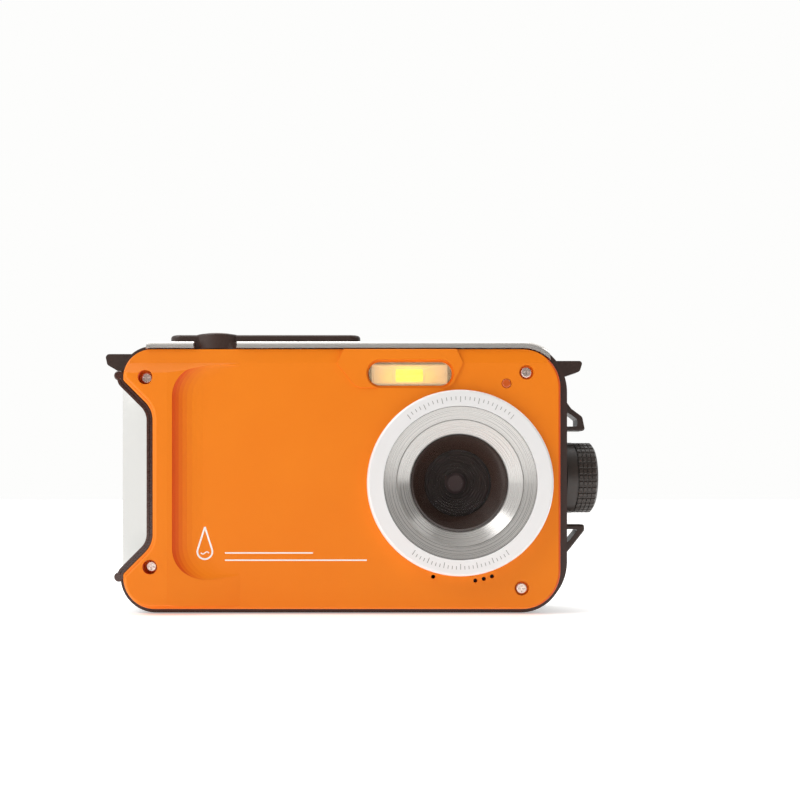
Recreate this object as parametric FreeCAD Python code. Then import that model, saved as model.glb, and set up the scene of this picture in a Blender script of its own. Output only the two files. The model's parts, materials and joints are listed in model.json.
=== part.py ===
import FreeCAD, Part
import math
import os

os.makedirs("parts", exist_ok=True)
V = FreeCAD.Vector

# Waterproof compact camera. Millimetres. X to the right as the front is looked at, the front faces -Y,
# Z is up. The origin is the mouth of the tripod socket, in the base.

# Body outline
left_x = -53.8
right_x = 53.4
top_z = 64.3
corner_r = 12.0

# Depth planes
cover_front_y = -11.2
cover_inner_y = -9.6
ridge_front_y = -13.2
split_front_y = -8.5
section_y = 2.0
split_rear_y = 9.0
back_y = 12.0
back_inner_y = 10.2

# Front cover outline
cover_top_z = 62.2
cover_bottom_z = 1.05
cover_right_x = 51.4
cover_corner_r = 9.0
waist_x = -44.6
lobe_x = -51.5
lobe_x_depth = waist_x - lobe_x
lobe_low_z = 9.3
lobe_high_z = 54.9
border = 1.05
wall = 2.0
raised_end_x = -24.0
dish_x = -39.8
dish_sweep = 8.5
dish_low_z = 7.4
dish_high_z = 58.9
frame_split_x = -38.0

# Lens group
lens_x = 27.5
lens_z = 30.7
ring_outer_r = 21.7
ring_inner_r = 17.9
ring_front_y = -14.2
lens_hole_r = 18.5
cone_mid_r = 14.8
cone_inner_r = 11.35
window_r = 8.2

# Door bay on the right end
bay_wall_x = 49.6
bay_inner_x = 47.8
bay_low_z = 11.2
bay_high_z = 53.8
door_gap = 0.3
door_front_y = -7.0
door_x0 = 50.0
door_x1 = 53.6
hinge_x = 51.4
hinge_y = 10.1
hinge_r = 0.6
barrel_r = 1.75
bay_mouth = (-5.0, 7.6, 14.0, 51.0)

# Lock knob
knob_y = 1.5
knob_z = 32.1
knob_r = 8.55
knob_shaft_r = 2.0
knob_x1 = 62.1
latch_reach = 7.3
guard_y0 = -1.0
guard_y1 = 4.0

# Buttons
shutter_x = -29.8
shutter_y = -4.5
shutter_r = 4.1
power_x = -9.5
power_y = -0.5
panel_top_z = 66.0
key_face_y = 12.6
key_gap = 0.15

# Front screws: x, z
screw_places = [(-45.9, 55.4), (43.3, 56.7), (-44.8, 11.1), (42.2, 6.0)]
screw_recess_r = 1.7
post_r = 2.4

sound_holes = [(21.4, 8.7), (31.3, 7.8), (33.3, 8.2), (35.2, 8.8)]
flash_x = 16.0
flash_z = 56.4
lamp_x = 38.6
lamp_z = 54.1

# Back: screen window as (low x, high x, low z, high z) and key places
screen_window = (-17.0, 45.0, 7.0, 57.5)
ok_x = -33.0
ok_z = 31.0
round_keys = {"menu_button": (-25.0, 44.5), "playback_button": (-41.0, 44.5)}
zoom_keys = {"zoom_out_button": -25.8, "zoom_in_button": -36.8}
zoom_z = 54.0


def save(shape, name):
    shape.exportStep("parts/" + name + ".step")


def box(x0, x1, y0, y1, z0, z1):
    return Part.makeBox(x1 - x0, y1 - y0, z1 - z0, V(x0, y0, z0))


def disc_y(x, z, r, y0, y1):
    return Part.makeCylinder(r, y1 - y0, V(x, y0, z), V(0, 1, 0))


def disc_x(y, z, r, x0, x1):
    return Part.makeCylinder(r, x1 - x0, V(x0, y, z), V(1, 0, 0))


def disc_z(x, y, r, z0, z1):
    return Part.makeCylinder(r, z1 - z0, V(x, y, z0), V(0, 0, 1))


def tube_y(x, z, r_out, r_in, y0, y1):
    return disc_y(x, z, r_out, y0, y1).cut(disc_y(x, z, r_in, y0 - 1, y1 + 1))


def point(x, z):
    return V(x, 0, z)


def line(a, b):
    return Part.LineSegment(point(*a), point(*b)).toShape()


def arc(a, m, b):
    return Part.Arc(point(*a), point(*m), point(*b)).toShape()


def slab(face, y0, y1):
    """The flat XZ face made into a slab from y0 to y1."""
    moved = face.copy()
    moved.translate(V(0, y0, 0))
    return moved.extrude(V(0, y1 - y0, 0))


def polygon_slab(points, y0, y1):
    wire = Part.makePolygon([point(x, z) for x, z in points + points[:1]])
    return slab(Part.Face(wire), y0, y1)


def rounded(corners):
    """Face inside a closed outline of (x, z, radius) corners; each round corner meets its sides smoothly."""
    edges = []
    last = None
    first = None
    count = len(corners)
    for i in range(count):
        x, z, r = corners[i]
        corner = point(x, z)
        back = (point(*corners[i - 1][:2]) - corner).normalize()
        ahead = (point(*corners[(i + 1) % count][:2]) - corner).normalize()
        half = back.getAngle(ahead) / 2
        reach = r / math.tan(half)
        start = corner + back * reach
        end = corner + ahead * reach
        if last is not None:
            edges.append(Part.LineSegment(last, start).toShape())
        else:
            first = start
        if r > 0:
            middle = (back + ahead).normalize()
            edges.append(Part.Arc(start, corner + middle * (r / math.sin(half) - r), end).toShape())
        last = end
    edges.append(Part.LineSegment(last, first).toShape())
    return Part.Face(Part.Wire(edges))


def round_rect(x0, x1, z0, z1, r):
    return rounded([(x0, z0, r), (x1, z0, r), (x1, z1, r), (x0, z1, r)])


def stadium(cx, cz, length, height):
    h = height / 2
    x0 = cx - length / 2 + h
    x1 = cx + length / 2 - h
    edges = [
        line((x0, cz + h), (x1, cz + h)),
        arc((x1, cz + h), (x1 + h, cz), (x1, cz - h)),
        line((x1, cz - h), (x0, cz - h)),
        arc((x0, cz - h), (x0 - h, cz), (x0, cz + h)),
    ]
    return Part.Face(Part.Wire(edges))


def cover_outline():
    """Front cover: round right corners, and a left side that is waisted between two pointed lobes."""
    return rounded([
        (cover_right_x, cover_top_z, cover_corner_r), (cover_right_x, cover_bottom_z, cover_corner_r),
        (lobe_x, cover_bottom_z, 7.4), (lobe_x, lobe_low_z, 0.9), (waist_x, lobe_low_z + lobe_x_depth, 6.0),
        (waist_x, lobe_high_z - lobe_x_depth, 6.0), (lobe_x, lobe_high_z, 0.9), (lobe_x, cover_top_z, 6.7),
    ])


def grown(face, offset):
    return Part.Face(face.OuterWire.makeOffset2D(offset)) if offset else face


front_face = cover_outline()
rear_face = round_rect(left_x, right_x, 0, top_z, corner_r)


def rear_inner(inset):
    return round_rect(left_x + inset, right_x - inset, inset, top_z - inset, corner_r - inset)


def front_edges_at(shape, y, smallest=0.0):
    return [e for e in shape.Edges if abs(e.BoundBox.YMin - y) < 1e-4 and abs(e.BoundBox.YMax - y) < 1e-4
            and e.Length > smallest]


# ---------------------------------------------------------------- front cover
def raised_corners(inset):
    """Outline of the raised grip: it follows the cover's left side and runs on to raised_end_x."""
    slant = inset * 0.41
    left = lobe_x + inset
    waist = waist_x + inset
    top = cover_top_z - inset
    low = cover_bottom_z + inset
    return [
        (raised_end_x, top, 0), (left, top, 6.1 - inset), (left, lobe_high_z + slant, 1.2),
        (waist, lobe_high_z - lobe_x_depth + slant, 6.0 + inset),
        (waist, lobe_low_z + lobe_x_depth - slant, 6.0 + inset),
        (left, lobe_low_z - slant, 1.2), (left, low, 6.9 - inset), (raised_end_x, low, 0),
    ]


def lofted(outlines):
    """Smooth solid through (y, corners) outlines."""
    sections = []
    for y, corners in outlines:
        wire = rounded(corners).OuterWire
        wire.translate(V(0, y, 0))
        sections.append(wire)
    return Part.makeLoft(sections, True, True)


def make_raised_grip():
    """Raised grip at the left. It slopes down to the face at its right end, and a dish with a wall that
    sweeps out like a hollow curve is taken from it."""
    base = lofted([(cover_front_y + 0.3, raised_corners(0.9)), (ridge_front_y + 0.35, raised_corners(0.9)),
                   (ridge_front_y + 0.1, raised_corners(1.15)), (ridge_front_y, raised_corners(1.4))])
    slope = Part.Face(Part.makePolygon([
        V(dish_x - 1.0, ridge_front_y - 1, 0), V(dish_x - 1.0, ridge_front_y - 0.001, 0),
        V(raised_end_x + 0.1, cover_front_y, 0), V(raised_end_x + 0.1, ridge_front_y - 1, 0),
        V(dish_x - 1.0, ridge_front_y - 1, 0)])).extrude(V(0, 0, 80))
    grip = base.cut(slope)
    steps = 9
    outlines = []
    for i in range(steps + 1):
        t = i / steps
        angle = math.radians(8 + 82 * t)
        x = dish_x + dish_sweep * (1 - math.cos(angle))
        y = ridge_front_y - 0.25 + (cover_front_y - ridge_front_y + 0.25) * math.sin(angle)
        rise = 2.2 * (1 - math.cos(angle))
        outlines.append((y, [(x, dish_low_z + rise, 8.0), (40.0, dish_low_z + rise, 2.0),
                             (40.0, dish_high_z - rise * 0.4, 2.0), (x, dish_high_z - rise * 0.4, 8.0)]))
    return grip.cut(lofted(outlines))


def top_bevel(points):
    """Wedge cut from the upper edge, between slanted ends."""
    corners = [(-14, 56.3), (ridge_front_y - 0.1, 56.3), (cover_front_y, 58.9), (-10.2, 63.0), (-14, 63.0)]
    profile = Part.makePolygon([V(-60, y, z) for y, z in corners + corners[:1]])
    wedge = Part.Face(profile).extrude(V(120, 0, 0))
    return wedge.common(polygon_slab(points, -14, -9))


def make_flash_pod():
    """Slightly raised pad round the flash, as high as the upper edge of the cover."""
    front = cover_front_y - 0.35
    plate = slab(front_face, front, cover_front_y + 0.6)
    plate = plate.makeFillet(0.5, front_edges_at(plate, front))
    corners = [(3.4, 53.15, 2.5), (25.7, 53.15, 2.5), (28.4, 58.9, 0.6), (26.4, 63.0, 0), (0.8, 63.0, 0),
               (-1.2, 58.9, 0.6)]
    return plate.common(slab(rounded(corners), -14, 0))


def make_front_cover():
    plate = slab(front_face, cover_front_y, split_front_y)
    plate = plate.makeFillet(0.8, front_edges_at(plate, cover_front_y))
    inner = slab(grown(front_face, -1.6), cover_inner_y, split_front_y + 1)
    cover = plate.cut(inner).fuse(make_raised_grip())
    for x, z in screw_places:
        cover = cover.fuse(disc_y(x, z, post_r, cover_inner_y, split_front_y).common(plate))
    cover = cover.cut(top_bevel([(-60, 56), (-1.2, 56), (-1.2, 58.9), (0.8, 63), (-60, 63)]))
    cover = cover.cut(top_bevel([(28.4, 56), (60, 56), (60, 63), (26.4, 63), (28.4, 58.9)]))
    cover = cover.fuse(make_flash_pod())
    cover = cover.cut(disc_y(lens_x, lens_z, lens_hole_r, -20, 0))
    cover = cover.cut(slab(stadium(flash_x, flash_z, 20.6, 6.6), -13, -10.6))
    cover = cover.cut(slab(stadium(flash_x, flash_z, 19.7, 5.6), -13, 0))
    cover = cover.cut(disc_y(lamp_x, lamp_z, 1.15, -13, 0))
    for x, z in screw_places:
        cover = cover.cut(disc_y(x, z, screw_recess_r, -14, -10.2))
        cover = cover.cut(disc_y(x, z, 1.0, -14, 0))
    for x, z in sound_holes:
        cover = cover.cut(disc_y(x, z, 0.5, -14, 0))
    save(cover.removeSplitter(), "front_cover")


# ---------------------------------------------------------------- middle frame
def ear(side):
    """Rounded lug at an upper corner of the frame; side is -1 for the left one, 1 for the right one."""
    if side < 0:
        corners = [(-44.0, 62.8, 0), (-58.8, 62.8, 0.9), (-58.2, 60.1, 0.9), (-54.4, 57.9, 1.5), (-50.0, 56.8, 0),
                   (-44.0, 56.8, 0)]
    else:
        corners = [(46.0, 61.1, 0), (59.8, 61.1, 0.7), (59.0, 58.5, 0.9), (55.2, 57.2, 1.0), (50.0, 56.2, 0),
                   (46.0, 56.2, 0)]
    return slab(rounded(corners), 3.0, 6.5)


def frame_outer():
    front = slab(grown(front_face, border), split_front_y, section_y)
    right = slab(rear_face, split_front_y, section_y).common(box(-36, 60, -20, 20, -5, 80))
    rear = slab(rear_face, section_y, split_rear_y)
    return front.fuse([right, rear, ear(-1), ear(1)])


def frame_cavity():
    front = slab(grown(front_face, -0.5), split_front_y - 1, section_y + 1.2)
    rear = slab(rear_inner(wall), section_y + 1.2, split_rear_y + 1)
    keep = box(bay_inner_x, 60, -20, 20, bay_low_z - 1.8, bay_high_z + 1.8)
    return front.fuse(rear).cut(keep)


def ring_band(face, outside, inside, y0, y1):
    return slab(grown(face, outside), y0, y1).cut(slab(grown(face, inside), y0 - 1, y1 + 1))


def rear_seal_band(y0, y1, outside, inside):
    """Band that follows the rear joint and steps in around the door bay."""
    outer = slab(rear_inner(outside), y0, y1)
    outer = outer.cut(box(bay_wall_x - outside + 0.3, 60, -20, 20, bay_low_z - outside, bay_high_z + outside))
    inner = slab(rear_inner(inside), y0 - 1, y1 + 1)
    inner = inner.cut(box(bay_wall_x - inside + 0.3, 60, -20, 20, bay_low_z - inside, bay_high_z + inside))
    return outer.cut(inner)


def make_mid_frame():
    frame = frame_outer().cut(frame_cavity())
    lip = ring_band(front_face, border, -wall, split_front_y, split_front_y + 1.2)
    frame = frame.fuse(lip)
    for x, z in screw_places:
        post = disc_y(x, z, post_r, split_front_y, 0.1).common(slab(grown(front_face, 0), -20, 5))
        wall_z = top_z - 1.5 if z > lens_z else 1.2
        rib = box(x - 1.0, x + 1.0, split_front_y, 0.1, min(z, wall_z), max(z, wall_z))
        frame = frame.fuse([post, rib])
    frame = frame.cut(box(bay_wall_x, 60, split_front_y + 1.2, 20, bay_low_z, bay_high_z))
    y0, y1, z0, z1 = bay_mouth
    frame = frame.cut(box(bay_inner_x - 1, bay_wall_x + 1, y0, y1, z0, z1))
    frame = frame.cut(ring_band(front_face, -0.5, -1.5, split_front_y - 1, split_front_y + 0.6))
    frame = frame.cut(rear_seal_band(split_rear_y - 0.6, split_rear_y + 1, 0.6, 1.4))
    for x, z in screw_places:
        frame = frame.cut(disc_y(x, z, 0.85, -20, -2.5))
    frame = frame.cut(disc_z(0, 0, 4.5, -1, 3))
    frame = frame.cut(disc_z(shutter_x, shutter_y, 3.0, 63.2, 70))
    frame = frame.cut(disc_z(shutter_x, shutter_y, 1.4, 55, 70))
    frame = frame.cut(disc_z(power_x, power_y, 1.2, 55, 70))
    frame = frame.cut(box(13.2, 18.8, -6, -4, 60, 62.0))
    bay = box(bay_inner_x - 0.9, 60, -20, 20, bay_low_z - 1.9, bay_high_z + 1.9)
    left = box(-60, frame_split_x, -20, 20, -5, 80)
    low = box(frame_split_x, 60, -20, 20, -5, lens_z).cut(bay)
    high = box(frame_split_x, 60, -20, 20, lens_z, 80).cut(bay)
    regions = {"frame_left": left, "frame_bottom": low, "frame_top": high, "frame_bay": bay}
    for node, region in regions.items():
        save(frame.common(region).removeSplitter(), node)


def make_seals():
    front = ring_band(front_face, -0.55, -1.45, split_front_y, split_front_y + 0.55)
    rear = rear_seal_band(split_rear_y - 0.55, split_rear_y, 0.65, 1.35)
    save(Part.makeCompound([front, rear]), "body_seals")


# ---------------------------------------------------------------- outer trims
def make_chrome_top_trim():
    """Plated strip along the top edge that curves down at the corners, with a gap for the shutter collar."""
    y0 = cover_front_y + 0.2
    outer = slab(grown(front_face, 1.95), y0, split_front_y)
    outer = outer.makeFillet(1.2, front_edges_at(outer, y0))
    strip = outer.cut(slab(grown(front_face, 0.3), y0 - 1, split_front_y + 1))
    ends = [(-46.6, 60.6), (-44.5, 70), (47.4, 70), (49.2, 58.6), (40, 56), (-40, 56)]
    strip = strip.common(polygon_slab(ends, -20, 0))
    gap = [(-34.3, 60), (-25.4, 60), (-24.7, 63.3), (-25.7, 70), (-34.0, 70), (-35.0, 63.3)]
    save(strip.cut(polygon_slab(gap, -20, 0)), "chrome_top_trim")


def make_top_panel():
    """Raised plate on the top, with the collar round the shutter button."""
    plan = Part.makeBox(45.4, 15.4, panel_top_z - top_z, V(-41.0, -8.0, top_z))
    uprights = [e for e in plan.Edges if abs(e.BoundBox.ZLength - (panel_top_z - top_z)) < 1e-4]
    plan = plan.makeFillet(2.5, uprights)
    rim = [e for e in plan.Edges if abs(e.BoundBox.ZMin - panel_top_z) < 1e-4]
    plan = plan.makeFillet(0.7, rim)
    collar = disc_z(shutter_x, shutter_y, 5.7, 61.4, panel_top_z + 0.1)
    collar = collar.cut(box(-60, 60, split_front_y, 20, 50, top_z))
    edge = [e for e in collar.Edges if abs(e.BoundBox.ZMin - panel_top_z - 0.1) < 1e-4]
    collar = collar.makeFillet(0.5, edge)
    collar = collar.cut(slab(grown(front_face, 0.25), -20, 0))
    panel = plan.fuse(collar)
    panel = panel.cut(disc_z(shutter_x, shutter_y, shutter_r + 0.2, top_z, 70))
    panel = panel.cut(disc_z(power_x, power_y, 3.2, top_z, 70))
    save(panel.removeSplitter(), "top_panel")


def make_side_grip():
    """Pale panel swept from the waisted front edge back to a straight rear edge, and its dark edge strip."""
    y_front = -8.4
    y_back = 0.2

    def front(x, z):
        return V(x, y_front, z)

    tip_low = front(-53.2, 8.9)
    foot_low = front(-47.3, 15.5)
    waist_low = front(-45.95, 19.5)
    waist_high = front(-45.95, 44.2)
    foot_high = front(-47.35, 49.5)
    tip_high = front(-53.2, 55.4)
    front_edges = [
        Part.LineSegment(tip_low, foot_low),
        Part.Arc(foot_low, front(-46.3, 17.3), waist_low),
        Part.LineSegment(waist_low, waist_high),
        Part.Arc(waist_high, front(-46.35, 46.8), foot_high),
        Part.LineSegment(foot_high, tip_high),
    ]
    rear_z = [7.0, 14.5, 19.5, 44.2, 50.4, 57.3]
    panel = None
    for i, curve in enumerate(front_edges):
        rear = Part.LineSegment(V(left_x, y_back, rear_z[i]), V(left_x, y_back, rear_z[i + 1]))
        skin = Part.makeRuledSurface(curve.toShape(), rear.toShape())
        piece = skin.extrude(V(0, 1.6, 0))
        panel = piece if panel is None else panel.fuse(piece)
    save(panel, "side_grip_panel")

    window = box(-60, waist_x + 0.2, -20, 0, 8.0, 56.6)
    y0 = split_front_y - 1.3
    strip = ring_band(front_face, 1.55, 0.2, y0, split_front_y).common(window)
    groove = ring_band(front_face, 0.98, 0.74, y0 - 1, y0 + 0.35).common(window)
    strip = strip.cut(groove)
    for z in (8.5, 56.1):
        nub = disc_y(-52.75, z, 1.15, y0, split_front_y)
        strip = strip.fuse(nub.makeFillet(0.4, front_edges_at(nub, y0)))
    strip = strip.cut(slab(grown(front_face, 0.15), -20, 0))
    save(strip.removeSplitter(), "side_grip_trim")


# ---------------------------------------------------------------- lens group
def turned(points):
    """Ring turned about the lens axis from (radius, y) points."""
    wire = Part.makePolygon([V(lens_x + r, y, lens_z) for r, y in points + points[:1]])
    return Part.Face(wire).revolve(V(lens_x, 0, lens_z), V(0, 1, 0), 360)


def make_lens_trim():
    ring = tube_y(lens_x, lens_z, ring_outer_r, ring_inner_r, ring_front_y, cover_front_y)
    outer = [e for e in front_edges_at(ring, ring_front_y) if e.Length > 2 * math.pi * (ring_outer_r - 0.1)]
    ring = ring.makeFillet(0.7, outer)
    save(ring, "lens_ring")
    save(turned([
        (ring_inner_r - 0.1, ring_front_y + 0.5), (ring_inner_r - 0.1, cover_front_y),
        (lens_hole_r - 0.1, cover_front_y), (lens_hole_r - 0.1, -9.2), (cone_inner_r + 0.1, -9.2),
        (cone_inner_r + 0.1, -11.0), (cone_mid_r - 0.12, -13.0), (cone_mid_r - 0.12, -12.7),
        (cone_mid_r + 0.12, -12.7), (cone_mid_r + 0.12, -13.1),
    ]), "lens_cone")
    save(turned([
        (cone_inner_r, -11.3), (cone_inner_r, -6.0), (window_r + 0.1, -6.0), (window_r + 0.1, -6.5),
        (window_r + 0.1, -7.7), (7.9, -7.7), (7.9, -8.0), (10.85, -11.3),
    ]), "lens_bezel")
    save(disc_y(lens_x, lens_z, window_r, -7.65, -6.9), "lens_window")
    save(tube_y(lens_x, lens_z, window_r, 7.7, -6.9, -6.5), "lens_window_seal")


def make_lens_optics():
    steps = 8
    points = []
    r = 7.55
    y = -6.5
    for _ in range(steps):
        points.append((r, y))
        points.append((r - 0.25, y + 0.42))
        r -= 0.62
        points.append((r, y + 0.42))
        y += 0.42
    last_r = r
    points += [(last_r, y), (last_r, y + 0.5), (8.2, y + 0.5), (8.2, -6.5)]
    save(turned(points), "light_baffle")
    barrel_front = y + 0.5
    barrel = turned([(last_r + 0.2, barrel_front), (6.0, barrel_front), (6.0, 0.25), (4.7, 0.25),
                     (4.7, -0.3), (last_r + 0.2, -0.3)])
    save(barrel, "lens_barrel")
    glass_r = last_r + 0.15
    front = disc_y(lens_x, lens_z, glass_r, barrel_front + 0.1, barrel_front + 0.6)
    dome = Part.makeSphere(4.0, V(lens_x, barrel_front + 3.65, lens_z))
    front_lens = front.common(dome)
    save(tube_y(lens_x, lens_z, glass_r, 0.9, barrel_front + 0.65, barrel_front + 0.8), "aperture_plate")
    rear_lens = disc_y(lens_x, lens_z, glass_r, barrel_front + 0.85, barrel_front + 1.35)
    save(Part.makeCompound([front_lens, rear_lens]), "lens_elements")
    save(box(lens_x - 3.6, lens_x + 3.6, -0.25, 0.3, lens_z - 2.8, lens_z + 2.8), "image_sensor")


# ---------------------------------------------------------------- flash and lamp
def make_flash():
    pane = slab(stadium(flash_x, flash_z, 19.5, 5.4), -10.9, cover_inner_y)
    for i in range(28):
        x = flash_x - 8.1 + i * 0.6
        pane = pane.cut(box(x - 0.09, x + 0.09, cover_inner_y - 0.25, -9, flash_z - 2.3, flash_z + 2.3))
    save(pane, "flash_window")
    outer = box(flash_x - 8.9, flash_x + 8.9, -9.5, -5.0, flash_z - 2.3, flash_z + 2.3)
    mouth = Part.makeLoft([
        Part.makePolygon([V(flash_x + sx * 8.5, -9.6, flash_z + sz * 2.05)
                          for sx, sz in [(-1, -1), (1, -1), (1, 1), (-1, 1), (-1, -1)]]),
        Part.makePolygon([V(flash_x + sx * 4.0, -5.6, flash_z + sz * 1.75)
                          for sx, sz in [(-1, -1), (1, -1), (1, 1), (-1, 1), (-1, -1)]]),
    ], True)
    save(outer.cut(mouth), "flash_reflector")
    save(disc_x(-7.4, flash_z, 1.45, flash_x - 3.2, flash_x + 3.2), "flash_tube")


def make_timer_lamp():
    lamp = disc_y(lamp_x, lamp_z, 1.08, -11.4, -9.6)
    lamp = lamp.makeFillet(0.35, front_edges_at(lamp, -11.4))
    save(lamp.fuse(disc_y(lamp_x, lamp_z, 1.6, -9.6, -8.8)), "timer_lamp")


def make_front_screws():
    screws = []
    for x, z in screw_places:
        head = disc_y(x, z, 1.3, -10.95, -10.2)
        head = head.makeFillet(0.3, front_edges_at(head, -10.95))
        cross = box(x - 0.85, x + 0.85, -11.2, -10.5, z - 0.17, z + 0.17)
        cross = cross.fuse(box(x - 0.17, x + 0.17, -11.2, -10.5, z - 0.85, z + 0.85))
        screws.append(head.cut(cross).fuse(disc_y(x, z, 0.82, -10.2, -3.0)))
    save(Part.makeCompound(screws), "front_screws")


# ---------------------------------------------------------------- top buttons
def make_shutter():
    cap = disc_z(shutter_x, shutter_y, shutter_r, 65.3, 66.4)
    rim = [e for e in cap.Edges if abs(e.BoundBox.ZMin - 66.4) < 1e-4]
    cap = cap.makeFillet(0.4, rim)
    save(cap.fuse(disc_z(shutter_x, shutter_y, 1.1, 60.3, 65.3)), "shutter_button")
    seal = disc_z(shutter_x, shutter_y, 2.2, 60.75, 61.65).cut(disc_z(shutter_x, shutter_y, 1.16, 60, 64))
    save(seal, "shutter_seal")
    coil_r = 2.1
    half = 0.13
    helix = Part.makeHelix(0.62, 1.8, coil_r)
    wire = Part.makePolygon([V(coil_r - half, 0, -half), V(coil_r + half, 0, -half),
                             V(coil_r + half, 0, half),
                             V(coil_r - half, 0, half), V(coil_r - half, 0, -half)])
    coil = Part.Wire(helix.Edges).makePipeShell([wire], True, True)
    coil.translate(V(shutter_x, shutter_y, 63.36))
    save(coil, "shutter_spring")


def make_power():
    cap = disc_z(power_x, power_y, 3.0, 65.0, 66.3)
    rim = [e for e in cap.Edges if abs(e.BoundBox.ZMin - 66.3) < 1e-4]
    cap = cap.makeFillet(0.35, rim)
    save(cap.fuse(disc_z(power_x, power_y, 0.9, 60.2, 65.0)), "power_button")


def make_top_switches():
    board = box(-36.0, -4.0, -7.4, 4.0, 57.8, 58.6)
    for x, y in [(shutter_x, shutter_y), (power_x, power_y)]:
        board = board.fuse(box(x - 1.8, x + 1.8, y - 1.8, y + 1.8, 58.6, 59.0))
        board = board.fuse(disc_z(x, y, 1.0, 59.0, 59.35))
    save(board, "top_switch_board")


# ---------------------------------------------------------------- rear


def arrow_face(angle, r0, r1, half):
    """Quarter ring between two radii, centred on an angle about the OK key."""
    def at(r, a):
        return (ok_x + r * math.cos(math.radians(a)), ok_z + r * math.sin(math.radians(a)))
    edges = [
        arc(at(r1, angle - half), at(r1, angle), at(r1, angle + half)),
        line(at(r1, angle + half), at(r0, angle + half)),
        arc(at(r0, angle + half), at(r0, angle), at(r0, angle - half)),
        line(at(r0, angle - half), at(r1, angle - half)),
    ]
    return Part.Face(Part.Wire(edges))


def key_faces():
    faces = {"ok_button": Part.Face(Part.Wire(Part.makeCircle(3.0, V(ok_x, 0, ok_z), V(0, 1, 0))))}
    for name, angle in [("up_button", 90), ("left_button", 0), ("down_button", 270), ("right_button", 180)]:
        faces[name] = arrow_face(angle, 4.3, 8.6, 38)
    for name, (x, z) in round_keys.items():
        faces[name] = Part.Face(Part.Wire(Part.makeCircle(2.7, V(x, 0, z), V(0, 1, 0))))
    for name, x in zoom_keys.items():
        faces[name] = stadium(x, zoom_z, 9.0, 4.6)
    return faces


def make_keys():
    for name, face in key_faces().items():
        stem = slab(grown(face, 0), 9.75, key_face_y)
        top = front_edges_at(stem, key_face_y)
        stem = stem.makeFillet(0.3, top)
        flange = slab(grown(face, 0.5), 9.75, 10.1)
        save(stem.fuse(flange).removeSplitter(), name)


def make_rear_cover():
    shell = slab(rear_face, split_rear_y, back_y)
    shell = shell.makeFillet(1.8, front_edges_at(shell, back_y))
    body = shell.cut(slab(rear_inner(1.8), split_rear_y - 1, back_inner_y))
    for z0, z1 in [(7.6, bay_low_z), (bay_high_z, 57.4)]:
        body = body.fuse(box(48.6, 60, split_rear_y, back_y, z0, z1).common(shell))
    body = body.fuse(box(bay_inner_x, bay_wall_x, split_rear_y, back_y, bay_low_z - 1.8,
                         bay_high_z + 1.8).common(shell))
    body = body.cut(box(bay_wall_x, 60, 0, 20, bay_low_z, bay_high_z))
    body = body.cut(disc_z(hinge_x, hinge_y, hinge_r, 8.6, 56.6))
    x0, x1, z0, z1 = screen_window
    body = body.cut(slab(round_rect(x0, x1, z0, z1, 2.0), 11.0, 13))
    body = body.cut(slab(round_rect(x0 + 3, x1 - 3, z0 + 4, z1 - 4, 1.0), 9, 13))
    for face in key_faces().values():
        body = body.cut(slab(grown(face, key_gap), 9, 13))
    for i in range(5):
        body = body.cut(disc_y(ok_x - 4 + 2 * i, 13.0, 0.5, 9, 13))
    save(body.removeSplitter(), "rear_cover")


def make_screen():
    x0, x1, z0, z1 = screen_window
    save(slab(round_rect(x0 + 0.1, x1 - 0.1, z0 + 0.1, z1 - 0.1, 1.9), 11.0, 12.0), "screen_window")
    save(box(x0 + 1.5, x1 - 1.5, 7.75, 10.15, z0 + 2.0, z1 - 2.0), "screen_panel")


def make_membrane():
    sheet = box(-47.0, -19.0, 8.6, 9.2, 18.0, 58.4)
    rim = box(-47.0, -19.0, 9.2, back_inner_y, 18.0, 58.4).cut(box(-46.2, -19.8, 9, 11, 18.8, 57.6))
    save(sheet.fuse(rim), "keypad_membrane")


# ---------------------------------------------------------------- battery door and lock
def guard_loop(side, outline, hole):
    """Loop beside the knob that a strap can be tied to. Its corners are (distance out, distance from the knob's
    axis, radius), laid upward when side is 1 and downward when side is -1."""
    def block(corners, y0, y1):
        return slab(rounded([(door_x1 - 0.4 + x, knob_z + side * d, r) for x, d, r in corners]), y0, y1)

    guard = block(outline, guard_y0, guard_y1)
    guard = guard.makeFillet(0.45, front_edges_at(guard, guard_y0))
    return guard.cut(block(hole, -20, 20))


def make_guard_loops():
    upper = [(0, 21.0, 0), (2.9, 16.9, 2.0), (5.6, 14.9, 1.3), (6.3, 11.45, 0.6), (0, 11.45, 0)]
    upper_hole = [(1.1, 12.5, 0.4), (1.1, 16.3, 0.4), (2.9, 15.3, 0.4), (4.3, 14.2, 0.4), (4.3, 12.5, 0.4)]
    lower = [(0, 20.4, 0), (2.4, 17.6, 2.0), (6.1, 12.9, 0.8), (6.0, 11.45, 0.4), (0, 11.45, 0)]
    lower_hole = [(1.1, 12.6, 0.4), (1.1, 16.4, 0.4), (2.4, 15.3, 0.4), (4.3, 12.9, 0.25), (4.1, 12.6, 0.1)]
    return [guard_loop(1, upper, upper_hole), guard_loop(-1, lower, lower_hole)]


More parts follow.
